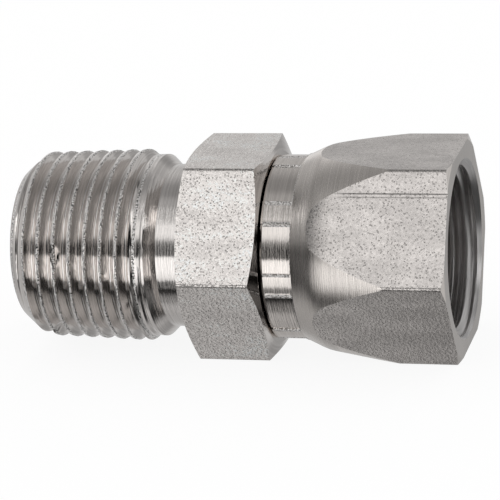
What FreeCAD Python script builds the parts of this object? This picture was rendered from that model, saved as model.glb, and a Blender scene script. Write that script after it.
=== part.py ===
import FreeCAD
import Part
import math
import os

V = FreeCAD.Vector

# Male tapered pipe by female 37 degree swivel adapter, lying on its hexagons' flats.
# All sizes are in millimetres and degrees. Stations run along the axis from the pipe end.

# Internal thread of the nut, 3/4-16 at the size of its crests, which sets all that lies round it
NUT_THREAD_MINOR_DIAMETER = 17.44

# Drawn hexagon bar that both pieces are turned from, 22.225 across its flats
HEX_WALL = 2.3925
HEX_EDGE_ROUNDING = 0.5
HEX_CHAMFER_ANGLE = 17.0

# Male pipe end: 1/2-14 tapered thread at the size of its crests, tip chamfer, run-out and neck
PIPE_CREST_DIAMETER = 20.5
PIPE_THREAD_TAPER = 1.0 / 16.0
PIPE_THREAD_LENGTH = 14.0
TIP_CHAMFER_DEPTH = 1.75
TIP_CHAMFER_ANGLE = 40.0
RUNOUT_STEP = 0.54
RUNOUT_LENGTH = 1.26
NECK_STEP = 1.1
NECK_LENGTH = 2.7
STEP_ANGLE = 45.0

# Wrench hexagon of the body
HEX_WIDTH = 9.2
HEX_FACE_INSET = 0.51

# Passage through the body
TIP_WALL = 1.75
BORE_EDGE_BREAK = 0.5
PIPE_BORE_DEPTH = 18.0
DRILL_POINT_ANGLE = 118.0
FLOW_BORE_DIAMETER = 9.92

# Swivel nut, inside: mouth, relief and crimped lip
NUT_MOUTH_CHAMFER = 1.13
RELIEF_DEPTH = 0.38
RELIEF_PAST_NOSE = 0.8
LIP_LENGTH = 2.5
LIP_CONE_ANGLE = 45.0
LIP_EDGE_BREAK = 0.35

# Swivel nut, outside: collar, shoulder and hexagon
NUT_END_GAP = 0.1
NUT_LENGTH = 20.5
COLLAR_WALL = 1.17
COLLAR_LENGTH = 3.44
COLLAR_EDGE_ROUNDING = 0.3
SHOULDER_STEEP_LENGTH = 2.4
SHOULDER_STEEP_ANGLE = 24.2
SHOULDER_SHALLOW_ANGLE = 9.85
SHOULDER_BLEND_RADIUS = 5.0
NUT_CORNER_CUT = 0.93

# Marks that the crimping jaws leave round the collar
JAW_COUNT = 8
JAW_MARK_WIDTH_ANGLE = 30.0
JAW_MARK_DEPTH = 0.12
JAW_MARK_MARGIN = 0.09
FIRST_JAW_ANGLE = 26.7

# Nose of the body inside the nut, with its concave seat
NOSE_REACH = 9.5
NOSE_HEAD_CLEARANCE = 0.12
NOSE_HOLD = 1.1
NOSE_EDGE_BREAK = 0.4
NOSE_RIM = 1.0
SEAT_HALF_ANGLE = 37.0
SWIVEL_CLEARANCE = 0.1
SWIVEL_END_PLAY = 0.12


def tan(degrees):
    return math.tan(math.radians(degrees))


def crest_radius(station):
    """Radius of the tapered thread's crests at a distance from the pipe end."""
    return PIPE_CREST_DIAMETER / 2.0 + station * PIPE_THREAD_TAPER / 2.0


# Radii that follow from one another
MINOR_RADIUS = NUT_THREAD_MINOR_DIAMETER / 2.0
AXIS_HEIGHT = MINOR_RADIUS + HEX_WALL
CORNER_RADIUS = AXIS_HEIGHT / math.cos(math.radians(30.0))
RELIEF_RADIUS = MINOR_RADIUS + RELIEF_DEPTH
COLLAR_RADIUS = RELIEF_RADIUS + COLLAR_WALL
HEAD_RADIUS = MINOR_RADIUS - NOSE_HEAD_CLEARANCE
LIP_RADIUS = HEAD_RADIUS - NOSE_HOLD
SWIVEL_RADIUS = LIP_RADIUS - SWIVEL_CLEARANCE
RUNOUT_RADIUS = crest_radius(PIPE_THREAD_LENGTH) - RUNOUT_STEP
NECK_RADIUS = RUNOUT_RADIUS - NECK_STEP
TIP_RADIUS = PIPE_CREST_DIAMETER / 2.0 - TIP_CHAMFER_DEPTH
PIPE_BORE_RADIUS = TIP_RADIUS - TIP_WALL
FLOW_BORE_RADIUS = FLOW_BORE_DIAMETER / 2.0

# Stations along the axis, from the pipe end to the nut's face
RUNOUT_START = PIPE_THREAD_LENGTH + RUNOUT_STEP / tan(STEP_ANGLE)
RUNOUT_END = RUNOUT_START + RUNOUT_LENGTH
NECK_START = RUNOUT_END + NECK_STEP / tan(STEP_ANGLE)
HEX_START = NECK_START + NECK_LENGTH
HEX_END = HEX_START + HEX_WIDTH
NOSE_FACE = HEX_END + NOSE_REACH
NUT_START = HEX_END + NUT_END_GAP
LIP_CONE_FOOT = NUT_START + LIP_LENGTH
NUT_FACE = NUT_START + NUT_LENGTH
MIDDLE = NUT_FACE / 2.0


def profile_edges(corners):
    """Lines through (station, radius, rounding) corners, with a tangent arc at each rounded one."""
    points = [V(x, 0, r) for x, r, rounding in corners]
    starts = []
    ends = []
    arcs = []
    for i, corner in enumerate(corners):
        here = points[i]
        rounding = corner[2]
        if rounding <= 0:
            starts.append(here)
            ends.append(here)
            continue
        back = (points[i - 1] - here).normalize()
        ahead = (points[(i + 1) % len(points)] - here).normalize()
        half = back.getAngle(ahead) / 2.0
        setback = rounding / math.tan(half)
        middle = here + (back + ahead).normalize() * (rounding / math.sin(half) - rounding)
        starts.append(here + back * setback)
        ends.append(here + ahead * setback)
        arcs.append(Part.Arc(starts[-1], middle, ends[-1]).toShape())
    lines = [Part.makeLine(ends[i - 1], starts[i]) for i in range(len(corners))]
    return lines + arcs


def turned(corners):
    """The solid that a closed profile sweeps in a full turn about the axis."""
    edges = Part.__sortEdges__(profile_edges(corners))
    return Part.Face(Part.Wire(edges)).revolve(V(0, 0, 0), V(1, 0, 0), 360)


def hex_bar(start, end):
    """A length of drawn hexagon bar with rounded edges, one flat down."""
    corners = []
    for i in range(6):
        angle = math.radians(60.0 * i)
        corners.append(V(start, CORNER_RADIUS * math.cos(angle), CORNER_RADIUS * math.sin(angle)))
    bar = Part.Face(Part.makePolygon(corners + corners[:1])).extrude(V(end - start, 0, 0))
    long_edges = [e for e in bar.Edges if abs(e.tangentAt(e.FirstParameter).x) > 0.9]
    return bar.makeFillet(HEX_EDGE_ROUNDING, long_edges)


def chamfer_run(face_radius):
    """Length along the axis from a hexagon's end face to where its chamfer meets the corners."""
    return (CORNER_RADIUS - face_radius) * tan(HEX_CHAMFER_ANGLE)


def make_pipe_end():
    """Tip chamfer, tapered crests, run-out and neck, up to the wrench hexagon."""
    tip_run = TIP_CHAMFER_DEPTH / (tan(TIP_CHAMFER_ANGLE) - PIPE_THREAD_TAPER / 2.0)
    return turned([
        (0, 0, 0),
        (0, TIP_RADIUS, 0),
        (tip_run, crest_radius(tip_run), 0),
        (PIPE_THREAD_LENGTH, crest_radius(PIPE_THREAD_LENGTH), 0),
        (RUNOUT_START, RUNOUT_RADIUS, 0),
        (RUNOUT_END, RUNOUT_RADIUS, 0),
        (NECK_START, NECK_RADIUS, 0),
        (HEX_START, NECK_RADIUS, 0),
        (HEX_START, 0, 0),
    ])


def make_wrench_hexagon():
    """The body's hexagon, turned to a shallow cone at both ends."""
    face_radius = AXIS_HEIGHT - HEX_FACE_INSET
    chamfer = chamfer_run(face_radius)
    envelope = turned([
        (HEX_START, 0, 0),
        (HEX_START, face_radius, 0),
        (HEX_START + chamfer, CORNER_RADIUS, 0),
        (HEX_END - chamfer, CORNER_RADIUS, 0),
        (HEX_END, face_radius, 0),
        (HEX_END, 0, 0),
    ])
    return envelope.common(hex_bar(HEX_START, HEX_END))


def make_nose():
    """Neck that the nut's lip turns on, and the head that holds the nut."""
    head_foot = LIP_CONE_FOOT + SWIVEL_END_PLAY - SWIVEL_CLEARANCE / tan(LIP_CONE_ANGLE)
    head_start = head_foot + (HEAD_RADIUS - SWIVEL_RADIUS) / tan(LIP_CONE_ANGLE)
    return turned([
        (HEX_END, 0, 0),
        (HEX_END, SWIVEL_RADIUS, 0),
        (head_foot, SWIVEL_RADIUS, 0),
        (head_start, HEAD_RADIUS, 0),
        (NOSE_FACE - NOSE_EDGE_BREAK, HEAD_RADIUS, 0),
        (NOSE_FACE, HEAD_RADIUS - NOSE_EDGE_BREAK, 0),
        (NOSE_FACE, 0, 0),
    ])


def make_passage():
    """What is drilled and turned out of the body, from the pipe end to the seat."""
    seat_radius = HEAD_RADIUS - NOSE_RIM
    seat_depth = (seat_radius - FLOW_BORE_RADIUS) / tan(SEAT_HALF_ANGLE)
    drill_point = (PIPE_BORE_RADIUS - FLOW_BORE_RADIUS) / tan(DRILL_POINT_ANGLE / 2.0)
    return turned([
        (0, 0, 0),
        (0, PIPE_BORE_RADIUS + BORE_EDGE_BREAK, 0),
        (BORE_EDGE_BREAK, PIPE_BORE_RADIUS, 0),
        (PIPE_BORE_DEPTH, PIPE_BORE_RADIUS, 0),
        (PIPE_BORE_DEPTH + drill_point, FLOW_BORE_RADIUS, 0),
        (NOSE_FACE - seat_depth, FLOW_BORE_RADIUS, 0),
        (NOSE_FACE, seat_radius, 0),
        (NOSE_FACE, 0, 0),
    ])


def make_adapter_body():
    blank = make_pipe_end().fuse([make_wrench_hexagon(), make_nose()])
    return blank.cut(make_passage()).removeSplitter()


def make_nut_blank():
    """Hexagon bar turned down over the shoulder to the collar, and chamfered at its face."""
    shoulder_start = NUT_START + COLLAR_LENGTH
    shoulder_break = shoulder_start + SHOULDER_STEEP_LENGTH
    break_radius = COLLAR_RADIUS + SHOULDER_STEEP_LENGTH * tan(SHOULDER_STEEP_ANGLE)
    end_radius = break_radius + (NUT_FACE - shoulder_break) * tan(SHOULDER_SHALLOW_ANGLE)
    shoulder = turned([
        (NUT_START, 0, 0),
        (NUT_START, COLLAR_RADIUS, COLLAR_EDGE_ROUNDING),
        (shoulder_start, COLLAR_RADIUS, 0),
        (shoulder_break, break_radius, SHOULDER_BLEND_RADIUS),
        (NUT_FACE, end_radius, 0),
        (NUT_FACE, 0, 0),
    ])
    face_radius = CORNER_RADIUS - NUT_CORNER_CUT
    chamfered = turned([
        (NUT_START, 0, 0),
        (NUT_START, CORNER_RADIUS, 0),
        (NUT_FACE - chamfer_run(face_radius), CORNER_RADIUS, 0),
        (NUT_FACE, face_radius, 0),
        (NUT_FACE, 0, 0),
    ])
    return hex_bar(NUT_START, NUT_FACE).common(shoulder).common(chamfered)


def make_nut_cavity():
    """Mouth, thread wall, relief round the nose, and the lip's cone and bore."""
    relief_end = NOSE_FACE + RELIEF_PAST_NOSE
    lip_cone_top = LIP_CONE_FOOT + (RELIEF_RADIUS - LIP_RADIUS) / tan(LIP_CONE_ANGLE)
    return turned([
        (NUT_START, 0, 0),
        (NUT_START, LIP_RADIUS + LIP_EDGE_BREAK, 0),
        (NUT_START + LIP_EDGE_BREAK, LIP_RADIUS, 0),
        (LIP_CONE_FOOT, LIP_RADIUS, 0),
        (lip_cone_top, RELIEF_RADIUS, 0),
        (relief_end, RELIEF_RADIUS, 0),
        (relief_end + RELIEF_DEPTH, MINOR_RADIUS, 0),
        (NUT_FACE - NUT_MOUTH_CHAMFER, MINOR_RADIUS, 0),
        (NUT_FACE, MINOR_RADIUS + NUT_MOUTH_CHAMFER, 0),
        (NUT_FACE, 0, 0),
    ])


def make_jaw_mark(angle):
    """The metal that one crimping jaw presses out of the collar, centred at an angle from the top."""
    floor = COLLAR_RADIUS - JAW_MARK_DEPTH
    clear = COLLAR_RADIUS + COLLAR_WALL
    start = NUT_START - COLLAR_LENGTH
    end = NUT_START + COLLAR_LENGTH - JAW_MARK_MARGIN
    outline = [V(start, 0, floor), V(end, 0, floor), V(end, 0, clear), V(start, 0, clear), V(start, 0, floor)]
    sector = Part.Face(Part.makePolygon(outline)).revolve(V(0, 0, 0), V(1, 0, 0), JAW_MARK_WIDTH_ANGLE)
    sector.rotate(V(0, 0, 0), V(1, 0, 0), angle - JAW_MARK_WIDTH_ANGLE / 2.0)
    return sector


def make_swivel_nut():
    marks = [make_jaw_mark(FIRST_JAW_ANGLE + 360.0 / JAW_COUNT * i) for i in range(JAW_COUNT)]
    return make_nut_blank().cut(make_nut_cavity()).cut(Part.Compound(marks))


def main():
    os.makedirs("parts", exist_ok=True)
    pieces = {
        "adapter_body": make_adapter_body(),
        "swivel_nut": make_swivel_nut(),
    }
    for name, shape in pieces.items():
        # The adapter's middle stands over the origin, with its lowest flats on the ground
        shape.translate(V(-MIDDLE, 0, AXIS_HEIGHT))
        shape.exportStep("parts/" + name + ".step")
        print(name, "solids", len(shape.Solids), "volume", round(shape.Volume, 1), "valid", shape.isValid())


main()
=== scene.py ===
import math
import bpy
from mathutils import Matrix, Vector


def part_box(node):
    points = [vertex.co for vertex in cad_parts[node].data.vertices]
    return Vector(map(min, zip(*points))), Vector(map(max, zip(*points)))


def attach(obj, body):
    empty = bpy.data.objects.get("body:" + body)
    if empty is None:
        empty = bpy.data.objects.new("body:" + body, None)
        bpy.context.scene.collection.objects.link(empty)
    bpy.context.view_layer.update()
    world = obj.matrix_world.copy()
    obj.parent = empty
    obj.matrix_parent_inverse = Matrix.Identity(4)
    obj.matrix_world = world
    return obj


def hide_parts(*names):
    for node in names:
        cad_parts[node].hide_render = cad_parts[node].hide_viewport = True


bl_info = {
    "name": "Hydraulic Swivel Adapter",
    "version": (1, 0, 0),
    "blender": (4, 5, 0),
    "location": "3D View > Sidebar > Adapter",
    "description": "Dresses a male pipe by female swivel adapter with its threads, marks and plated finish",
    "category": "Add Mesh",
}

import bmesh
import bpy
import numpy as np
from bpy.props import BoolProperty, FloatProperty, FloatVectorProperty, PointerProperty
from mathutils import Matrix, Vector

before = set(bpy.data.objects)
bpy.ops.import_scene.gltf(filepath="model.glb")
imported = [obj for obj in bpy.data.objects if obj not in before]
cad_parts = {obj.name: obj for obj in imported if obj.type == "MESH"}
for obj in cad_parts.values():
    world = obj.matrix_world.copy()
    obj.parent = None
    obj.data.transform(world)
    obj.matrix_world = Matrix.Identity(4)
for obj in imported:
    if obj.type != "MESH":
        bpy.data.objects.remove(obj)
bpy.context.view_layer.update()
BODY_LOW, BODY_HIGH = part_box("adapter_body")
NUT_LOW, NUT_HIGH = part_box("swivel_nut")

MM = 0.001
TURN = 2.0 * math.pi

# Stations along the axis that the solids give, from the pipe end to the nut's face
PIPE_TIP = BODY_LOW.x
NOSE_FACE = BODY_HIGH.x
NUT_START = NUT_LOW.x
NUT_FACE = NUT_HIGH.x

# The hexagon bar that both pieces are turned from
AXIS_HEIGHT = (BODY_HIGH.z - BODY_LOW.z) / 2.0
HEX_SIDES = 6
HEX_SIDE_ANGLE = TURN / HEX_SIDES
HEX_ROUNDING = 0.5 * MM
HEX_CHAMFER = math.tan(math.radians(17.0))
CORNER_RADIUS = AXIS_HEIGHT / math.cos(math.pi / HEX_SIDES)

# Nicks in the pipe thread's crests: station, angle from the top, half width, half turn and depth
PIPE_NICKS = (
    (-18.97 * MM, math.radians(78.0), 0.24 * MM, math.radians(6.5), 0.3 * MM),
    (-21.09 * MM, math.radians(142.7), 0.5 * MM, math.radians(3.5), 0.35 * MM),
    (-23.6 * MM, math.radians(139.0), 0.3 * MM, math.radians(3.5), 0.2 * MM),
    (-17.1 * MM, math.radians(84.0), 0.15 * MM, math.radians(2.0), 0.1 * MM),
    (-13.4 * MM, math.radians(90.0), 0.15 * MM, math.radians(2.0), 0.1 * MM),
    (-11.6 * MM, math.radians(112.0), 0.2 * MM, math.radians(3.0), 0.15 * MM),
)

# A burr over the edge of a crest: offset from the edge, drop and height of its points, in burr heights
BURR_POINTS = (
    (-6.0, 0.0, 0.0), (-4.0, 0.0, 0.6), (-2.0, 0.0, 1.0), (0.0, 0.0, 1.0), (1.5, 1.5, 0.5), (3.0, 4.0, 0.0),
)
BURR_END = 3.5

# Depth of the marks that the finishes have
TURNED_LINES = 0.009 * MM
SHOULDER_LINES = 0.005 * MM
BORE_LINES = 0.005 * MM
BURR_TEARS = 0.09 * MM
BODY_PITS = 0.024 * MM
NUT_PITS = 0.014 * MM

# Mesh fineness round the axis: widest angle between columns, and columns across a corner of the hexagon
COLUMN_STEP = math.radians(1.6)
CORNER_COLUMNS = 7

# Mesh fineness along the axis: widest turn of a rounded edge between rows, and rows down a thread's flank
ROUNDING_STEP = math.radians(14.0)
FLANK_ROWS = 3

# Angle from which an edge is sharp, and distance within which points are welded
CRISP_ANGLE = math.radians(15.5)
WELD = 0.001 * MM

# Sockets of a Mix node for colours, by number, since its other kinds of socket have the same names
MIX_FACTOR, MIX_FIRST, MIX_SECOND, MIX_RESULT = 0, 6, 7, 2

WHITE = (1.0, 1.0, 1.0, 1.0)


def length(name, description, millimetres):
    return FloatProperty(
        name=name,
        description=description,
        default=millimetres * MM,
        precision=5,
        unit="LENGTH",
        subtype="DISTANCE",
    )


def angle(name, description, degrees):
    return FloatProperty(
        name=name, description=description, default=math.radians(degrees), unit="ROTATION", subtype="ANGLE"
    )


def share(name, description, default):
    return FloatProperty(
        name=name, description=description, default=default, min=0.0, max=1.0, subtype="FACTOR"
    )


def colour(name, description, default):
    return FloatVectorProperty(
        name=name, description=description, default=default, min=0.0, max=1.0, size=3, subtype="COLOR"
    )


class AdapterSizes(bpy.types.PropertyGroup):
    pipe_pitch: length("Pipe pitch", "Distance between crests of the pipe thread", 25.4 / 14.0)
    pipe_crest: length("Pipe crest", "Width of the pipe thread's crests", 0.36)
    pipe_depth: length("Pipe depth", "Depth of the pipe thread's groove", 1.1)
    nut_pitch: length("Nut pitch", "Distance between crests of the nut's thread", 25.4 / 16.0)
    nut_crest: length("Nut crest", "Width of the nut thread's crests", 0.34)
    nut_depth: length("Nut depth", "Depth of the nut thread's groove", 0.78)
    flank_angle: angle("Flank angle", "Angle of both threads' flanks from square to the axis", 30.0)
    left_hand: BoolProperty(name="Left hand", description="Both threads wind left-handed", default=True)


class AdapterFinish(bpy.types.PropertyGroup):
    body_metal: colour("Body plating", "Colour of the body's turned surfaces", (0.79, 0.752, 0.725))
    nut_metal: colour("Nut plating", "Colour of the nut's turned surfaces", (0.803, 0.7515, 0.7105))
    body_skin: colour("Body skin", "Colour of the body's drawn flats", (0.97, 0.92, 0.885))
    nut_skin: colour("Nut skin", "Colour of the nut's drawn flats", (0.76, 0.718, 0.69))
    bore: colour("Bore", "Colour of the plating in the bores", (0.76, 0.742, 0.732))
    burr: colour("Burrs", "Colour of freshly torn metal", (1.0, 0.97, 0.945))
    turned_roughness: share("Turned roughness", "Roughness of the turned surfaces", 0.1)
    drawn_roughness: share("Drawn roughness", "Roughness of the drawn flats and the nut's shoulder", 0.26)
    body_bore_roughness: share("Passage roughness", "Roughness of the passage through the body", 0.35)
    nut_bore_roughness: share("Nut bore roughness", "Roughness of the nut's thread and relief", 0.27)
    crest_burr_roughness: share("Crest burr roughness", "Roughness of the pipe thread's torn edges", 0.14)
    jaw_burr_roughness: share("Jaw burr roughness", "Roughness of the lips beside the jaw marks", 0.3)


class AdapterStudio(bpy.types.PropertyGroup):
    azimuth: angle("Azimuth", "Turn of the camera round the adapter", 16.299)
    elevation: angle("Elevation", "Height of the camera over the horizon", 19.557)
    roll: angle("Roll", "Tilt of the camera about its line of sight", -4.82)
    distance: length("Distance", "Distance of the camera from its target", 305.2)
    target_x: length("Target station", "Station that the camera looks at", 0.405)
    target_z: length("Target height", "Height that the camera looks at", 10.604)
    lens: FloatProperty(name="Lens", description="Focal length", default=197.99, unit="CAMERA")
    floor: colour("Floor", "Colour of the floor", (0.98, 0.98, 0.98))


class Wire:
    """A socket of a shader under way. Operators on wires and numbers add Math nodes to its tree."""

    def __init__(self, tree, socket=None):
        self.tree = tree
        self.socket = socket

    def node(self, kind, settings=None, sockets=None, output=0):
        """Adds a node, sets its settings and then its sockets, and gives the wire of one output."""
        node = self.tree.nodes.new(kind)
        for name, value in (settings or {}).items():
            if name == "stops":
                fill_ramp(node.color_ramp, value)
            else:
                setattr(node, name, value)
        for name, value in (sockets or {}).items():
            if isinstance(value, Wire):
                self.tree.links.new(value.socket, node.inputs[name])
            else:
                node.inputs[name].default_value = value
        return Wire(self.tree, node.outputs[output] if node.outputs else None)

    def output(self, name):
        """Another output of the node that this wire comes from."""
        return Wire(self.tree, self.socket.node.outputs[name])

    def part(self, name):
        """The X, Y or Z of a vector."""
        return self.node("ShaderNodeSeparateXYZ", None, {"Vector": self}, output=name)

    def math(self, operation, *values):
        return self.node("ShaderNodeMath", {"operation": operation}, dict(enumerate(values)))

    def mix(self, first, second):
        """The colour from one to another that this wire gives, from 0 to 1."""
        sockets = {MIX_FACTOR: self, MIX_FIRST: first, MIX_SECOND: second}
        return self.node("ShaderNodeMix", {"data_type": "RGBA"}, sockets, output=MIX_RESULT)

    def stretched(self, scales):
        return self.node("ShaderNodeVectorMath", {"operation": "MULTIPLY"}, {0: self, 1: scales})

    def between(self, nought, full):
        """0 up to one value, 1 from the other on, and smooth between. Either may be the higher one."""
        sockets = {"Value": self, "From Min": nought, "From Max": full}
        return self.node("ShaderNodeMapRange", {"interpolation_type": "SMOOTHSTEP"}, sockets)

    def raised(self, distance):
        """The normal of a surface that stands out by this wire times a distance."""
        return self.node("ShaderNodeBump", None, {"Strength": 1.0, "Distance": distance, "Height": self})

    def __add__(self, other):
        return self.math("ADD", self, other)

    def __radd__(self, other):
        return self.math("ADD", other, self)

    def __sub__(self, other):
        return self.math("SUBTRACT", self, other)

    def __rsub__(self, other):
        return self.math("SUBTRACT", other, self)

    def __mul__(self, other):
        return self.math("MULTIPLY", self, other)

    def __rmul__(self, other):
        return self.math("MULTIPLY", other, self)


def fill_ramp(ramp, stops):
    """Gives a colour ramp its (position, value) stops, in grey."""
    while len(ramp.elements) < len(stops):
        ramp.elements.new(1.0)
    for element, (position, value) in zip(ramp.elements, stops):
        element.position = position
        element.color = (value, value, value, 1.0)


def new_shader(name):
    """A bare material, and the wire of its object coordinates."""
    material = bpy.data.materials.new(name)
    material.use_nodes = True
    tree = material.node_tree
    tree.nodes.clear()
    place = Wire(tree).node("ShaderNodeTexCoord", output="Object")
    return material, place


def plated(base, roughness, normal):
    """Ends a material in bare plated metal."""
    sockets = {"Base Color": base, "Metallic": 1.0, "Roughness": roughness, "Normal": normal}
    surface = normal.node("ShaderNodeBsdfPrincipled", None, sockets)
    normal.node("ShaderNodeOutputMaterial", None, {"Surface": surface})


def noise(place, along, across, detail=2.0, roughness=0.5):
    """Smooth noise with so many waves a metre along the axis and across it."""
    stretched = place.stretched((along, across, across))
    sockets = {"Vector": stretched, "Scale": 1.0, "Detail": detail, "Roughness": roughness}
    return place.node("ShaderNodeTexNoise", {"noise_dimensions": "3D"}, sockets)


def grains(place, size):
    """Distance from the nearest of many scattered points, in grain sizes."""
    sockets = {"Vector": place, "Scale": 1.0 / size}
    return place.node("ShaderNodeTexVoronoi", {"feature": "F1"}, sockets, output="Distance")


def shade_of(metal, factor=1.0):
    """A metal's colour made darker or lighter, with its alpha."""
    return [c * factor for c in metal] + [1.0]


def from_axis(place):
    """Distance of a point from the adapter's axis."""
    y = place.part("Y")
    z = y.output("Z") - AXIS_HEIGHT
    return y.math("SQRT", y * y + z * z)


def turned_finish(name, metal, roughness, line_depth, painted_shade_up_to=None):
    """Fine lines that the tool leaves round the axis, each with a little chatter along it. Where a station is
    given, painted shade darkens the metal up to it, below a height."""
    material, place = new_shader(name)
    dark_shade, bright_shade = 0.84, 1.06
    roughness_change = 0.06
    fine = noise(place, 15000.0, 120.0)
    broad = noise(place, 4500.0, 60.0)
    chatter = noise(place, 9000.0, 1300.0)
    lines = fine * 0.9 + broad * 2.2 + chatter * 1.2
    tone = (fine * 0.6 + broad * 0.4).between(0.3, 0.7)
    base = tone.mix(shade_of(metal, dark_shade), shade_of(metal, bright_shade))
    # Painted shade: the colour darkens on the shoulder's lower side, from the collar up to the station
    if painted_shade_up_to is not None:
        painted_shade_tone = 0.78
        painted_shade_edge = 0.7 * MM
        painted_shade_full_height, painted_shade_gone_height = 14.0 * MM, 17.0 * MM
        x = place.part("X")
        ragged = (broad - 0.5) * MM
        painted_shade_mask = (x + ragged).between(painted_shade_up_to + painted_shade_edge, painted_shade_up_to)
        painted_shade_mask = painted_shade_mask * x.output("Z").between(painted_shade_gone_height, painted_shade_full_height)
        base = painted_shade_mask.mix(base, shade_of(metal, painted_shade_tone))
    plated(base, roughness + (tone - 0.5) * roughness_change, lines.raised(line_depth))
    return material


def dark_corner_lines(place, ragged):
    """Dark, broken lines along the hexagon's rounded corners."""
    corner_start, corner_full = 12.715 * MM, 12.74 * MM
    broken = ragged.between(0.42, 0.54) * 0.75
    return from_axis(place).between(corner_start, corner_full) * broken


def die_lines_and_painted_shade(place, ragged):
    """Two lines that the drawing die left along the nut's near flat, painted shade on that flat where the
    shoulder ends, and the dark lines along its corners."""
    flat_start, flat_full = 6.2 * MM, 6.6 * MM
    flat_low, flat_low_full = 11.1 * MM, 11.3 * MM
    line_levels = ((19.98 * MM, 0.8), (19.64 * MM, 0.5))
    line_core, line_edge = 0.03 * MM, 0.1 * MM
    line_waver = 0.06 * MM
    line_start, line_full = 12.0 * MM, 14.0 * MM
    painted_shade_full, painted_shade_end = 9.2 * MM, 12.6 * MM
    painted_shade_waver = 2.0 * MM
    x = place.part("X")
    near = x.output("Y") * -1.0
    height = x.output("Z")
    near_flat = near.between(flat_start, flat_full) * height.between(flat_low, flat_low_full)
    ragged_height = height + (ragged - 0.5) * line_waver
    lines = 0.0
    for level, strength in line_levels:
        gap = ragged_height - level
        lines = lines + gap.math("ABSOLUTE", gap).between(line_edge, line_core) * strength
    lines = lines * x.between(line_start, line_full)
    # Painted shade: the near flat's colour darkens toward where the shoulder ends
    painted_shade_by_shoulder = (x + (ragged - 0.5) * painted_shade_waver).between(painted_shade_end, painted_shade_full)
    marks = near_flat * lines.math("MAXIMUM", lines, painted_shade_by_shoulder * 0.9)
    return marks.math("MAXIMUM", marks, dark_corner_lines(place, ragged) * 0.7)


def drawn_finish(name, metal, roughness, pit_size, depth, marks):
    """Skin of the drawn bar: small pits in a mottled surface, and the darkening that a function gives: its
    marks and lines, and on the nut also painted shade.
    """
    material, place = new_shader(name)
    dark_shade, bright_shade = 0.79, 1.16
    pit_shade = 0.74
    mark_and_painted_shade_tone = 0.15
    roughness_change = 0.1
    mottle_waves = 0.9 / pit_size
    ragged = noise(place, 6000.0, 6000.0)
    scatter = noise(place, 1500.0, 1500.0).between(0.3, 0.6) * 0.7 + 0.3
    pits = (grains(place, pit_size) + ragged * 0.3).between(0.52, 0.28) * scatter
    mottle = noise(place, mottle_waves, mottle_waves, 2.0, 0.6).between(0.3, 0.7)
    patches = noise(place, 160.0, 420.0).between(0.35, 0.65)
    clean = patches * 0.45 + mottle * 0.55
    clean = clean.mix(shade_of(metal, dark_shade), shade_of(metal, bright_shade))
    pitted = pits.mix(clean, shade_of(metal, pit_shade))
    # The function's mask darkens the colour: its marks and lines, and on the nut also painted shade by the
    # shoulder
    base = marks(place, ragged).mix(pitted, shade_of(metal, mark_and_painted_shade_tone))
    plated(base, roughness + pits * roughness_change, (mottle * 0.7 - pits).raised(depth))
    return material


def burr_finish(name, metal, torn_metal, roughness, dark):
    """Torn, glittering metal along an edge, with specks of the plating in a dark shade."""
    material, place = new_shader(name)
    torn = noise(place, 7000.0, 6000.0, 1.0, 0.6)
    base = torn.between(0.4, 0.48).mix(shade_of(metal, dark), shade_of(torn_metal))
    plated(base, roughness, torn.raised(BURR_TEARS))
    return material


def bore_finish(name, metal, roughness):
    """Duller metal inside, with faint lines round the axis."""
    material, place = new_shader(name)
    dark_shade = 0.8
    roughness_change = 0.1
    fine = noise(place, 9000.0, 300.0)
    base = fine.between(0.3, 0.7).mix(shade_of(metal, dark_shade), shade_of(metal))
    plated(base, roughness + fine * roughness_change, fine.raised(BORE_LINES))
    return material


def corner_half_angle():
    """Angle at the axis from a hexagon corner to where its rounding meets the flat."""
    half_side = HEX_SIDE_ANGLE / 2.0
    centre = CORNER_RADIUS - HEX_ROUNDING / math.cos(half_side)
    return math.atan2(HEX_ROUNDING * math.sin(half_side), centre + HEX_ROUNDING * math.cos(half_side))


def hex_radius(angles):
    """Distance from the axis to the rounded hexagon bar, at angles from the top, where a flat lies."""
    half_side = HEX_SIDE_ANGLE / 2.0
    from_corner = np.abs(np.mod(angles, HEX_SIDE_ANGLE) - half_side)
    flat = AXIS_HEIGHT / np.cos(half_side - from_corner)
    centre = CORNER_RADIUS - HEX_ROUNDING / math.cos(half_side)
    reach = np.maximum(HEX_ROUNDING**2 - (centre * np.sin(from_corner)) ** 2, 0.0)
    rounded = centre * np.cos(from_corner) + np.sqrt(reach)
    return np.where(from_corner < corner_half_angle(), rounded, flat)


def corner_angles():
    """Angles of the columns across the six rounded corners."""
    half = corner_half_angle()
    across = np.linspace(-half, half, CORNER_COLUMNS)
    return [HEX_SIDE_ANGLE * (i + 0.5) + a for i in range(HEX_SIDES) for a in across]


def column_angles(fixed):
    """The fixed angles in order, with even ones between them. They run a full turn on from the first."""
    fixed = sorted(fixed)
    angles = []
    for here, there in zip(fixed, fixed[1:] + [fixed[0] + TURN]):
        count = math.ceil((there - here) / COLUMN_STEP)
        angles.extend(here + (there - here) * i / count for i in range(count))
    return np.array(angles)


def rounded_path(corners):
    """Points through (station, radius, rounding) corners, with short steps round each rounded one."""
    points = []
    for i, (x, r, rounding) in enumerate(corners):
        here = Vector((x, r))
        if rounding <= 0:
            points.append((x, r))
            continue
        back = (Vector(corners[i - 1][:2]) - here).normalized()
        ahead = (Vector(corners[i + 1][:2]) - here).normalized()
        turn = math.pi - back.angle(ahead)
        setback = rounding * math.tan(turn / 2.0)
        centre = here + (back + ahead).normalized() * (rounding / math.cos(turn / 2.0))
        start = here + back * setback - centre
        sweep = turn if start.cross(ahead) > 0 else -turn
        count = math.ceil(turn / ROUNDING_STEP)
        for k in range(count + 1):
            c, s = math.cos(sweep * k / count), math.sin(sweep * k / count)
            points.append((centre.x + start.x * c - start.y * s, centre.y + start.x * s + start.y * c))
    return points


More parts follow.
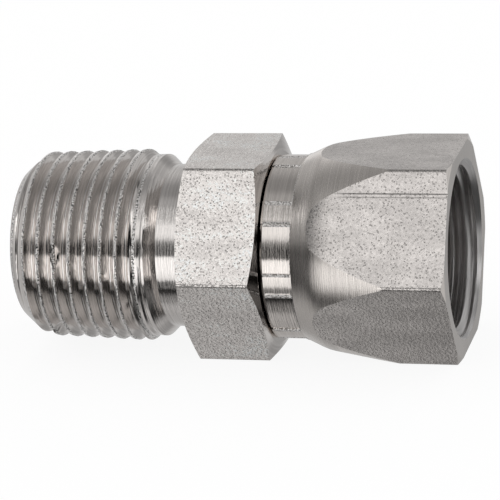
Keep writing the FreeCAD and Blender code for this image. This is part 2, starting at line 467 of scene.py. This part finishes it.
def smooth_noise(count, reach, seed):
    """Even, repeatable unevenness from -1 to 1 along a closed row, smooth over a number of points."""
    values = np.random.default_rng(seed).normal(size=count)
    window = np.hanning(2 * reach + 1)
    closed = np.concatenate([values[-reach:], values, values[:reach]])
    spread = np.convolve(closed, window, "same")[reach:-reach]
    return spread / np.abs(spread).max()


def nick_depth(stations, angles):
    """Depth that the nicks take from the pipe thread's crests, at a station and an angle for each column."""
    depth = np.zeros_like(stations)
    for station, turn, half_width, half_turn, deepest in PIPE_NICKS:
        away = ((stations - station) / half_width) ** 2 + ((angles - turn) / half_turn) ** 2
        depth = depth + deepest * np.exp(-away * away)
    return depth


class Skin:
    """Rows of points round the axis that join in order into one closed surface."""

    def __init__(self, angles, finishes):
        self.angles = angles
        self.finishes = finishes
        self.stations = []
        self.radii = []
        self.meets = []
        self.finish = []

    def ring(self, station, radius, finish, rows=1, torn=False):
        """Adds rows up to a station and radius, which are numbers or have a value for each column, with the
        burr finish in the columns that are torn."""
        x = np.broadcast_to(np.asarray(station, float), self.angles.shape)
        r = np.broadcast_to(np.asarray(radius, float), self.angles.shape)
        from_x, from_r = (self.stations[-1], self.radii[-1]) if self.stations else (x, r)
        for i in range(1, rows + 1):
            self.meets.append(len(self.stations))
            self.stations.append(from_x + (x - from_x) * i / rows)
            self.radii.append(from_r + (r - from_r) * i / rows)
            plain = np.full(self.angles.shape, self.finishes.index(finish))
            self.finish.append(np.where(torn, self.finishes.index("burr"), plain))

    def thread(self, start, end, pitch, crest, section, surface, hand):
        """Adds rows that follow a thread, held between two stations. crest is the station of a crest at the
        top, section one pitch of (offset, drop, burr, finish) from a crest on, and hand 1 or -1 for right or
        left. surface gives the radius at a station for a drop below the crests."""
        ragged_seed = 5
        leads = hand * self.angles / TURN
        first_turn = math.floor((start - crest) / pitch - leads.max()) - 1
        last_turn = math.ceil((end - crest) / pitch - leads.min()) + 1
        columns = len(self.angles)
        ragged = smooth_noise((last_turn - first_turn + 2) * columns, 1, ragged_seed)
        begin = len(self.stations)
        last = begin + (last_turn - first_turn) * len(section) - 1
        for turn in range(first_turn, last_turn):
            along = (turn - first_turn + 1) * columns + hand * np.arange(columns)
            for offset, drop, burr, finish in section:
                x = crest + turn * pitch + offset + pitch * leads
                x = np.clip(x, start, end)
                row = len(self.stations)
                self.meets.append(min(max(row + hand * len(section), begin), last))
                self.stations.append(x)
                self.radii.append(surface(x, drop - burr * (1.0 + ragged[along])))
                self.finish.append(np.full(columns, self.finishes.index(finish)))

    def build(self, name, body, node, materials):
        """Makes the mesh, welds what coincides, and lets it stand for its solid."""
        x = np.array(self.stations)
        r = np.array(self.radii)
        points = np.stack([x, -r * np.sin(self.angles), AXIS_HEIGHT + r * np.cos(self.angles)], axis=-1)
        rows, columns = x.shape
        index = np.arange(rows * columns).reshape(rows, columns)
        beyond = np.concatenate([index[:, 1:], index[self.meets, :1]], axis=1)
        following = np.roll(index, -1, axis=0)
        beyond_following = np.roll(beyond, -1, axis=0)
        quads = np.stack([index, beyond, beyond_following, following], axis=-1).reshape(-1, 4)
        mesh = bpy.data.meshes.new(name)
        mesh.from_pydata(points.reshape(-1, 3).tolist(), [], quads.tolist())
        finish = np.roll(np.array(self.finish), -1, axis=0)
        mesh.polygons.foreach_set("material_index", finish.reshape(-1).astype(np.int32))
        made = bmesh.new()
        made.from_mesh(mesh)
        bmesh.ops.remove_doubles(made, verts=made.verts, dist=WELD)
        bmesh.ops.recalc_face_normals(made, faces=made.faces)
        open_edges = sum(not edge.is_manifold for edge in made.edges)
        made.to_mesh(mesh)
        made.free()
        if open_edges:
            raise RuntimeError(f"the skin of {name} has {open_edges} open edges")
        for material in materials:
            mesh.materials.append(material)
        mesh.shade_smooth()
        mesh.set_sharp_from_angle(angle=CRISP_ANGLE)
        piece = bpy.data.objects.new(name, mesh)
        bpy.context.scene.collection.objects.link(piece)
        weighted = piece.modifiers.new("Weighted normals", "WEIGHTED_NORMAL")
        weighted.keep_sharp = True
        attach(piece, body)
        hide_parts(node)


def thread_section(pitch, crest, depth, flank, edge_rounding, root_rounding, burr, finish):
    """One pitch of a thread from the end of a crest on, as (offset, drop, burr, finish) with rounded edges.
    The first edge carries a burr where one is given."""
    edge = crest / 2.0
    run = depth * math.tan(flank)
    corners = [
        (-pitch, 0.0, 0.0),
        (edge, 0.0, edge_rounding),
        (edge + run, depth, root_rounding),
        (pitch - edge - run, depth, root_rounding),
        (pitch - edge, 0.0, edge_rounding),
        (pitch * 2.0, 0.0, 0.0),
    ]
    points = rounded_path(corners)[1:-1]
    section = []
    for (x, drop), (next_x, next_drop) in zip(points, points[1:]):
        on_flank = abs(next_drop - drop) > depth * 0.4
        steps = FLANK_ROWS if on_flank else 1
        for i in range(steps):
            section.append((x + (next_x - x) * i / steps, drop + (next_drop - drop) * i / steps, 0.0, finish))
    section.append((*points[-1], 0.0, finish))
    if burr > 0.0:
        lip = [(edge + burr * across, burr * down, burr * up, "burr") for across, down, up in BURR_POINTS]
        lip[0] = (*lip[0][:3], finish)
        section = lip + [point for point in section if point[0] > edge + burr * BURR_END]
    return section


def build_body(sizes, materials):
    """Tapered pipe thread, run-out, neck, wrench hexagon, nose with its seat, and the passage."""
    taper = 1.0 / 32.0
    crest_radius = 10.25 * MM
    crest_on_top = -11.54 * MM
    crest_rounding = 0.07 * MM
    root_rounding = 0.12 * MM
    crest_burr = 0.035 * MM
    tip_radius = 8.5 * MM
    tip_chamfer = math.tan(math.radians(40.0))
    runout_start = PIPE_TIP + 14.54 * MM
    runout_end = PIPE_TIP + 15.8 * MM
    fade_start = runout_start - 0.14 * MM
    fade_slope = 0.42
    ring_radius = 10.1475 * MM
    ring_slope = 0.026
    runout_radius = ring_radius - (runout_end - runout_start) * ring_slope
    neck_radius = 9.0475 * MM
    neck_start = PIPE_TIP + 16.9 * MM
    hex_start = PIPE_TIP + 19.6 * MM
    hex_end = PIPE_TIP + 28.8 * MM
    hex_face = AXIS_HEIGHT - 0.51 * MM
    groove_radius = 7.4 * MM
    groove_end = PIPE_TIP + 31.42 * MM
    nose_start = PIPE_TIP + 32.62 * MM
    nose_radius = 8.6 * MM
    nose_break = 0.4 * MM
    seat_radius = 7.6 * MM
    passage_radius = 4.96 * MM
    seat_slope = math.tan(math.radians(37.0))
    seat_end = NOSE_FACE - (seat_radius - passage_radius) / seat_slope
    bore_radius = 6.75 * MM
    bore_break = 0.5 * MM
    bore_end = PIPE_TIP + 18.0 * MM
    drill_slope = math.tan(math.radians(59.0))
    drill_end = bore_end + (bore_radius - passage_radius) / drill_slope

    skin = Skin(column_angles(corner_angles()), ["turned", "drawn", "bore", "burr"])

    def thread_surface(x, drop):
        from_tip = x - PIPE_TIP
        cone = crest_radius + from_tip * taper
        rise = np.maximum(x - fade_start, 0.0) * fade_slope
        groove = cone - np.maximum(drop - rise, np.minimum(drop, 0.0))
        tip = tip_radius + from_tip * tip_chamfer
        before_step = runout_radius + runout_start - x
        after_step = runout_radius + (x - runout_start) * ring_slope
        step = np.where(x < runout_start, before_step, after_step)
        return np.minimum(np.minimum(groove - nick_depth(x, skin.angles), tip), step)

    skin.ring(PIPE_TIP, bore_radius + bore_break, "turned")
    skin.ring(PIPE_TIP, tip_radius, "turned", rows=2)
    section = thread_section(
        sizes.pipe_pitch, sizes.pipe_crest, sizes.pipe_depth, sizes.flank_angle,
        crest_rounding, root_rounding, crest_burr, "turned",
    )
    hand = -1 if sizes.left_hand else 1
    skin.thread(PIPE_TIP, runout_end, sizes.pipe_pitch, crest_on_top, section, thread_surface, hand)
    skin.ring(runout_end, ring_radius, "turned")
    skin.ring(neck_start, neck_radius, "turned", rows=3)
    skin.ring(hex_start, neck_radius, "turned", rows=6)

    skin.ring(hex_start, hex_face, "turned", rows=2)
    hexagon = hex_radius(skin.angles)
    arch = (hexagon - hex_face) * HEX_CHAMFER
    skin.ring(hex_start + arch, hexagon, "turned", rows=2)
    skin.ring(hex_end - arch, hexagon, "drawn", rows=12)
    skin.ring(hex_end, hex_face, "turned", rows=2)

    skin.ring(hex_end, groove_radius, "turned", rows=2)
    skin.ring(groove_end, groove_radius, "turned")
    skin.ring(nose_start, nose_radius, "turned")
    skin.ring(NOSE_FACE - nose_break, nose_radius, "turned", rows=4)
    skin.ring(NOSE_FACE, nose_radius - nose_break, "turned")
    skin.ring(NOSE_FACE, seat_radius, "turned")
    skin.ring(seat_end, passage_radius, "turned", rows=2)
    skin.ring(drill_end, passage_radius, "bore", rows=8)
    skin.ring(bore_end, bore_radius, "bore", rows=2)
    skin.ring(PIPE_TIP + bore_break, bore_radius, "bore", rows=10)
    skin.build("plated_body", "body", "adapter_body", materials)


def build_nut(sizes, materials):
    """Crimped collar with its jaw marks, shoulder, hexagon, and the internal thread up to the lip."""
    collar_radius = 10.27 * MM
    collar_rounding = 0.088 * MM
    collar_break = 0.3 * MM
    jaw_count = 8
    first_jaw = 26.7
    half_jaw = math.radians(15.0)
    jaw_depth = 0.12 * MM
    jaw_edge = math.radians(0.35)
    jaw_lip_steps = (0.0, jaw_edge, 2.0 * jaw_edge, 4.0 * jaw_edge)
    jaw_lip_shape = (0.0, 1.0, 0.8, 0.0)
    jaw_lip_height = 0.045 * MM
    jaw_lip_uneven = (0.5, 1.3)
    jaw_lip_margin = 0.1 * jaw_edge
    jaw_rows = 16
    jaw_end = NUT_START + 3.35 * MM
    jaw_floor_end = jaw_end - 0.1 * MM
    jaw_end_waver = 0.02 * MM
    jaw_end_step = 0.04 * MM
    jaw_end_lip = 0.03 * MM
    shoulder_start = NUT_START + 3.44 * MM
    steep_run = 2.4 * MM
    steep_end = shoulder_start + steep_run
    steep_end_radius = collar_radius + steep_run * math.tan(math.radians(24.2))
    shallow_slope = math.tan(math.radians(9.85))
    shoulder_rounding = 5.0 * MM
    shoulder_rows = 16
    face_corner = CORNER_RADIUS - 0.93 * MM
    minor_radius = 8.72 * MM
    mouth_depth = 1.13 * MM
    crest_on_top = NUT_FACE - 2.06 * MM
    crest_rounding = 0.12 * MM
    root_rounding = 0.06 * MM
    fade_run = 1.2 * MM
    relief_radius = 9.1 * MM
    relief_end = NOSE_FACE + 0.8 * MM
    relief_start = NUT_START + 4.1 * MM
    lip_radius = 7.5 * MM
    lip_break = 0.35 * MM
    lip_end = NUT_START + 2.5 * MM

    jaws = [math.radians(first_jaw + 360.0 / jaw_count * i) for i in range(jaw_count)]
    lip_angles = [side * (half_jaw + step) for side in (-1.0, 1.0) for step in jaw_lip_steps]
    jaw_columns = [(jaw + lip_angle) % TURN for jaw in jaws for lip_angle in lip_angles]
    skin = Skin(column_angles(corner_angles() + jaw_columns), ["turned", "drawn", "bore", "shoulder", "burr"])
    off_jaw = np.min([np.abs(np.mod(skin.angles - j + math.pi, TURN) - math.pi) for j in jaws], axis=0)
    marked = np.clip((half_jaw + jaw_edge - off_jaw) / jaw_edge, 0.0, 1.0)
    lips = np.interp(off_jaw - half_jaw, jaw_lip_steps, jaw_lip_shape, left=0.0)
    lip_end_angle = half_jaw + jaw_lip_steps[-1]
    on_lip = (off_jaw > half_jaw - jaw_lip_margin) & (off_jaw < lip_end_angle + jaw_lip_margin)
    jaw_floor = collar_radius - jaw_depth * marked
    hexagon = hex_radius(skin.angles)
    rough_seed = 7
    rough = np.random.default_rng(rough_seed)

    skin.ring(NUT_FACE, minor_radius + mouth_depth, "turned")
    face_edge = np.minimum(hexagon, face_corner)
    skin.ring(NUT_FACE, face_edge, "turned", rows=3)
    skin.ring(NUT_FACE - (hexagon - face_edge) * HEX_CHAMFER, hexagon, "turned")

    shoulder = rounded_path([
        (shoulder_start, collar_radius, 0.0),
        (steep_end, steep_end_radius, shoulder_rounding),
        (NUT_FACE, steep_end_radius + (NUT_FACE - steep_end) * shallow_slope, 0.0),
    ])
    outline_x = np.array([p[0] for p in shoulder])
    outline_r = np.array([p[1] for p in shoulder])
    arch = np.interp(hexagon, outline_r, outline_x)
    skin.ring(arch, hexagon, "drawn", rows=16)
    blend_end = outline_x[-2]
    skin.ring(np.minimum(arch, blend_end), np.minimum(hexagon, outline_r[-2]), "shoulder", rows=10)
    for x in np.linspace(blend_end, shoulder_start, shoulder_rows)[1:]:
        held = np.minimum(x, arch)
        skin.ring(held, np.interp(held, outline_x, outline_r), "shoulder")

    torn_end = jaw_end + rough.normal(0.0, jaw_end_waver, skin.angles.shape) * marked
    skin.ring(torn_end + jaw_end_step, collar_radius + jaw_end_lip * marked, "turned", torn=marked > 0.0)
    skin.ring(torn_end, jaw_floor, "turned", torn=marked > 0.0)
    for x in np.linspace(jaw_floor_end, NUT_START + collar_break, jaw_rows):
        height = jaw_lip_height * rough.uniform(*jaw_lip_uneven, skin.angles.shape)
        skin.ring(x, jaw_floor + lips * height, "turned", torn=on_lip)
    skin.ring(NUT_START + collar_rounding, jaw_floor - collar_rounding, "turned")
    skin.ring(NUT_START, jaw_floor - collar_break, "turned")

    skin.ring(NUT_START, lip_radius + lip_break, "turned", rows=2)
    skin.ring(NUT_START + lip_break, lip_radius, "turned")
    skin.ring(lip_end, lip_radius, "bore", rows=3)
    skin.ring(relief_start, relief_radius, "bore", rows=2)
    skin.ring(relief_end, relief_radius, "bore", rows=6)

    def thread_surface(x, drop):
        fade = np.clip((x - relief_end) / fade_run, 0.0, 1.0)
        groove = minor_radius + drop * fade
        relief_cone = relief_radius - (x - relief_end)
        mouth_cone = minor_radius + mouth_depth - (NUT_FACE - x)
        return np.maximum(np.maximum(groove, relief_cone), mouth_cone)

    section = thread_section(
        sizes.nut_pitch, sizes.nut_crest, sizes.nut_depth, sizes.flank_angle,
        crest_rounding, root_rounding, 0.0, "bore",
    )
    hand = -1 if sizes.left_hand else 1
    skin.thread(relief_end, NUT_FACE, sizes.nut_pitch, crest_on_top, section, thread_surface, hand)
    skin.build("plated_nut", "nut", "swivel_nut", materials)


class ADAPTER_OT_body(bpy.types.Operator):
    """Builds the adapter body over its solid"""

    bl_idname = "adapter.body"
    bl_label = "Build Adapter Body"

    def execute(self, context):
        finish = context.scene.adapter_finish
        metal = finish.body_metal
        turned = finish.turned_roughness
        drawn = finish.drawn_roughness
        pit_size = 0.3 * MM
        speck_shade = 0.2
        materials = [
            turned_finish("Body turned zinc", metal, turned, TURNED_LINES),
            drawn_finish("Body drawn zinc", finish.body_skin, drawn, pit_size, BODY_PITS, dark_corner_lines),
            bore_finish("Body bore", finish.bore, finish.body_bore_roughness),
            burr_finish("Body thread burrs", metal, finish.burr, finish.crest_burr_roughness, speck_shade),
        ]
        build_body(context.scene.adapter_sizes, materials)
        return {"FINISHED"}


class ADAPTER_OT_nut(bpy.types.Operator):
    """Builds the swivel nut over its solid"""

    bl_idname = "adapter.nut"
    bl_label = "Build Swivel Nut"

    def execute(self, context):
        finish = context.scene.adapter_finish
        metal = finish.nut_metal
        turned = finish.turned_roughness
        drawn = finish.drawn_roughness
        pit_size = 0.28 * MM
        speck_shade = 0.45
        # Station up to which painted shade darkens the shoulder's colour
        painted_shade_up_to = 11.0 * MM
        materials = [
            turned_finish("Nut turned zinc", metal, turned, TURNED_LINES),
            drawn_finish("Nut drawn zinc and painted shade", finish.nut_skin, drawn, pit_size, NUT_PITS, die_lines_and_painted_shade),
            bore_finish("Nut bore", finish.bore, finish.nut_bore_roughness),
            turned_finish("Nut shoulder zinc and painted shade", metal, drawn, SHOULDER_LINES, painted_shade_up_to),
            burr_finish("Nut jaw mark burrs", metal, finish.burr, finish.jaw_burr_roughness, speck_shade),
        ]
        build_nut(context.scene.adapter_sizes, materials)
        return {"FINISHED"}


def add_floor(floor_colour):
    """A pale floor that shows only to the eye and to diffuse light, so that the metal mirrors the studio."""
    reach = 1.5
    glow_share = 0.9
    corners = [(-reach, -reach, 0), (reach, -reach, 0), (reach, reach, 0), (-reach, reach, 0)]
    mesh = bpy.data.meshes.new("floor")
    mesh.from_pydata(corners, [], [(0, 1, 2, 3)])
    floor = bpy.data.objects.new("floor", mesh)
    bpy.context.scene.collection.objects.link(floor)
    floor.visible_glossy = False
    material = bpy.data.materials.new("Floor")
    material.use_nodes = True
    material.node_tree.nodes.clear()
    start = Wire(material.node_tree)
    seen = start.node("ShaderNodeLightPath", output="Is Camera Ray")
    paper = start.node("ShaderNodeBsdfDiffuse", None, {"Color": shade_of(floor_colour)})
    glow = start.node("ShaderNodeEmission", None, {"Color": WHITE, "Strength": 1.0})
    mixed = start.node("ShaderNodeMixShader", None, {0: seen * glow_share, 1: paper, 2: glow})
    start.node("ShaderNodeOutputMaterial", None, {"Surface": mixed})
    mesh.materials.append(material)


class Sky:
    """What the metal mirrors in each direction, which has a turn round the axis and a lean along it."""

    def __init__(self, direction):
        self.lean = direction.part("X")
        up = self.lean.output("Z")
        near = self.lean.output("Y") * -1.0
        self.turn = up.math("ARCTAN2", up, near) * (1.0 / TURN) + 0.5

    def band(self, *stops):
        """Brightness at turns in degrees, from level in front, up through overhead to behind."""
        placed = [((degrees + 180.0) / 360.0, value) for degrees, value in stops]
        return self.turn.node("ShaderNodeValToRGB", {"stops": placed}, {"Fac": self.turn})

    def sheet(self, edges, *stops):
        """A band with edges across it, each given as the leans at which it is gone and full. The lean is -1
        toward the pipe end and 1 toward the nut."""
        held = self.band(*stops)
        for gone, full in edges:
            held = held * self.lean.between(gone, full)
        return held


def studio_room(sky):
    """The room itself, with dark cards round the adapter."""
    room = sky.band(
        (-180, 0.60), (-160, 0.58), (-135, 0.52), (-121, 0.44), (-100, 0.45), (-80, 0.53), (-64, 0.39),
        (-57, 0.24), (-52, 0.04), (-38, 0.03), (-20, 0.11), (-13, 0.09), (5, 0.03), (18, 0.04), (22, 0.17),
        (27, 0.28), (40, 0.30), (63, 0.30), (100, 0.26), (110, 0.27), (130, 0.42), (145, 0.48), (160, 0.49),
        (172, 0.57), (180, 0.60),
    )
    right = sky.sheet([(0.25, 0.5)], (-115, 0.0), (-100, 0.9), (120, 0.9), (130, 0.0))
    far_right = sky.sheet([(0.5, 0.75)], (-140, 0.0), (-130, 0.92), (150, 0.92), (160, 0.0))
    behind = sky.sheet(
        [(0.0, 0.2), (0.42, 0.33)],
        (-180, 0.38), (-130, 0.38), (-110, 0.0), (150, 0.0), (165, 0.38), (180, 0.38),
    )
    under = sky.sheet([(-0.27, -0.12)], (-110, 0.0), (-95, 0.8), (-65, 0.8), (-55, 0.0))
    window_frame = sky.sheet(
        [(0.86, 0.89)],
        (-65, 0.0), (-60, 0.8), (55, 0.8), (60, 0.0), (105, 0.0), (109, 0.9), (122, 0.9), (126, 0.0),
    )
    for card in (right, window_frame, behind, under, far_right):
        room = room * (1.0 - card)
    return room


def studio_panels(sky):
    """Bright panels in front and above, windows at both ends, and light for the ring, rim and mouth."""
    right_end = (0.32, 0.15)
    low = sky.band((-34, 0.0), (-31, 0.75), (-25, 0.95), (-14, 1.12), (-4, 1.15), (2, 1.1), (4, 0.0))
    low_steps = sky.lean.between(-0.74, -0.70) * 0.3 + sky.lean.between(-0.575, -0.5) * 0.6
    high = sky.sheet(
        [(-0.60, -0.35), right_end],
        (24, 0.0), (30, 0.55), (36, 0.75), (44, 0.75), (50, 0.56), (60, 0.34), (75, 0.25), (84, 0.14),
        (94, 0.0),
    )
    crests = sky.sheet([(-0.62, -0.55), (-0.315, -0.335)], (-32, 0.0), (-28, 0.45), (26, 0.45), (40, 0.0))
    ring = sky.sheet([(-0.40, -0.36), (-0.315, -0.335)], (42, 0.0), (48, 0.6), (72, 0.6), (77, 0.0))
    rim = sky.sheet(
        [(-0.50, -0.44), (-0.305, -0.355)],
        (-180, 0.34), (-165, 0.2), (-150, 0.0), (-135, 0.14), (-120, 0.0), (70, 0.0), (90, 0.05), (118, 0.05),
        (135, 0.2), (142, 0.36), (165, 0.34), (180, 0.34),
    )
    nut_window = sky.sheet([(0.86, 0.89)], (56, 0.0), (60, 1.5), (103, 1.5), (107, 0.0))
    pipe_window = sky.sheet([(-0.86, -0.89)], (70, 0.0), (76, 1.6), (108, 1.6), (114, 0.0))
    pipe_glow = sky.sheet([(-0.86, -0.89)], (-62, 0.0), (-50, 0.07), (12, 0.07), (20, 0.0))
    mouth_edge = (0.88, 0.84)
    mouth_front = sky.sheet(
        [(0.775, 0.80), mouth_edge],
        (-32, 0.0), (-12, 0.5), (3, 0.7), (15, 0.6), (28, 0.0),
    )
    mouth_top = sky.sheet(
        [(0.5, 0.6), mouth_edge],
        (-100, 0.0), (-80, 0.12), (-50, 0.12), (-40, 0.0), (40, 0.0), (60, 0.5), (79, 0.5), (120, 0.45),
        (150, 0.0),
    )
    mouth_end = sky.sheet([(0.90, 0.94)], (-45, 0.0), (-35, 1.0), (5, 1.0), (15, 0.0))
    panels = low * low_steps * sky.lean.between(*right_end)
    panels = panels + high + crests + ring + rim
    panels = panels + nut_window + pipe_window + pipe_glow
    return panels + mouth_front + mouth_top + mouth_end


def add_world():
    """Even light for diffuse surfaces, white to the eye, and a studio for the metal to mirror."""
    world = bpy.data.worlds.new("Studio")
    bpy.context.scene.world = world
    world.use_nodes = True
    world.cycles.sampling_method = "NONE"
    world.node_tree.nodes.clear()
    start = Wire(world.node_tree)
    sky = Sky(start.node("ShaderNodeTexCoord", output="Generated"))
    collar_edges = [(-0.285, -0.265), (0.32, 0.15)]
    collar_card = sky.sheet(
        collar_edges,
        (-74, 0.0), (-67, 0.65), (-47, 0.65), (-44, 0.0), (45, 0.0), (54, 0.4), (74, 0.4), (86, 0.0),
    )
    collar_panel = sky.sheet(collar_edges, (-45, 0.0), (-43, 0.34), (-30, 0.34), (-26, 0.0))
    mirrored = (studio_room(sky) + studio_panels(sky)) * (1.0 - collar_card) + collar_panel
    in_metal = start.node("ShaderNodeLightPath", output="Is Glossy Ray")
    light = in_metal.mix(WHITE, mirrored)
    background = start.node("ShaderNodeBackground", None, {"Color": light, "Strength": 1.0})
    start.node("ShaderNodeOutputWorld", None, {"Surface": background})


def add_camera(studio):
    """A camera at the photograph's angle."""
    azimuth, elevation = studio.azimuth, studio.elevation
    back = Vector((
        math.sin(azimuth) * math.cos(elevation),
        -math.cos(azimuth) * math.cos(elevation),
        math.sin(elevation),
    ))
    level = Vector((math.cos(azimuth), math.sin(azimuth), 0.0))
    upright = level.cross(-back)
    right = math.cos(studio.roll) * level + math.sin(studio.roll) * upright
    up = math.cos(studio.roll) * upright - math.sin(studio.roll) * level
    target = Vector((studio.target_x, 0.0, studio.target_z))
    place = Matrix((right, up, back)).transposed().to_4x4()
    place.translation = target + back * studio.distance
    data = bpy.data.cameras.new("Camera")
    data.lens = studio.lens
    data.sensor_width = 36.0
    data.clip_start = 0.01
    data.clip_end = 10.0
    camera = bpy.data.objects.new("Camera", data)
    camera.matrix_world = place
    bpy.context.scene.collection.objects.link(camera)
    bpy.context.scene.camera = camera


class ADAPTER_OT_stage(bpy.types.Operator):
    """Sets up the floor, the studio light and the camera"""

    bl_idname = "adapter.stage"
    bl_label = "Set Up Studio"

    def execute(self, context):
        studio = context.scene.adapter_studio
        context.scene.view_settings.view_transform = "Standard"
        add_floor(studio.floor)
        add_world()
        add_camera(studio)
        return {"FINISHED"}


class ADAPTER_PT_panel(bpy.types.Panel):
    """Lists the adapter's pieces and settings"""

    bl_idname = "ADAPTER_PT_panel"
    bl_label = "Hydraulic Adapter"
    bl_space_type = "VIEW_3D"
    bl_region_type = "UI"
    bl_category = "Adapter"

    def draw(self, context):
        for operator in OPERATORS:
            self.layout.operator(operator.bl_idname)
        for name, kind in SETTINGS.items():
            box = self.layout.box()
            for field in kind.__annotations__:
                box.prop(getattr(context.scene, name), field)


OPERATORS = (ADAPTER_OT_stage, ADAPTER_OT_body, ADAPTER_OT_nut)
SETTINGS = {"adapter_sizes": AdapterSizes, "adapter_finish": AdapterFinish, "adapter_studio": AdapterStudio}
CLASSES = (*SETTINGS.values(), *OPERATORS, ADAPTER_PT_panel)


def register():
    for kind in CLASSES:
        bpy.utils.register_class(kind)
    for name, kind in SETTINGS.items():
        setattr(bpy.types.Scene, name, PointerProperty(type=kind))


def unregister():
    for name in SETTINGS:
        delattr(bpy.types.Scene, name)
    for kind in reversed(CLASSES):
        bpy.utils.unregister_class(kind)


def main():
    register()
    bpy.ops.adapter.stage()
    bpy.ops.adapter.body()
    bpy.ops.adapter.nut()


if __name__ == "__main__":
    main()
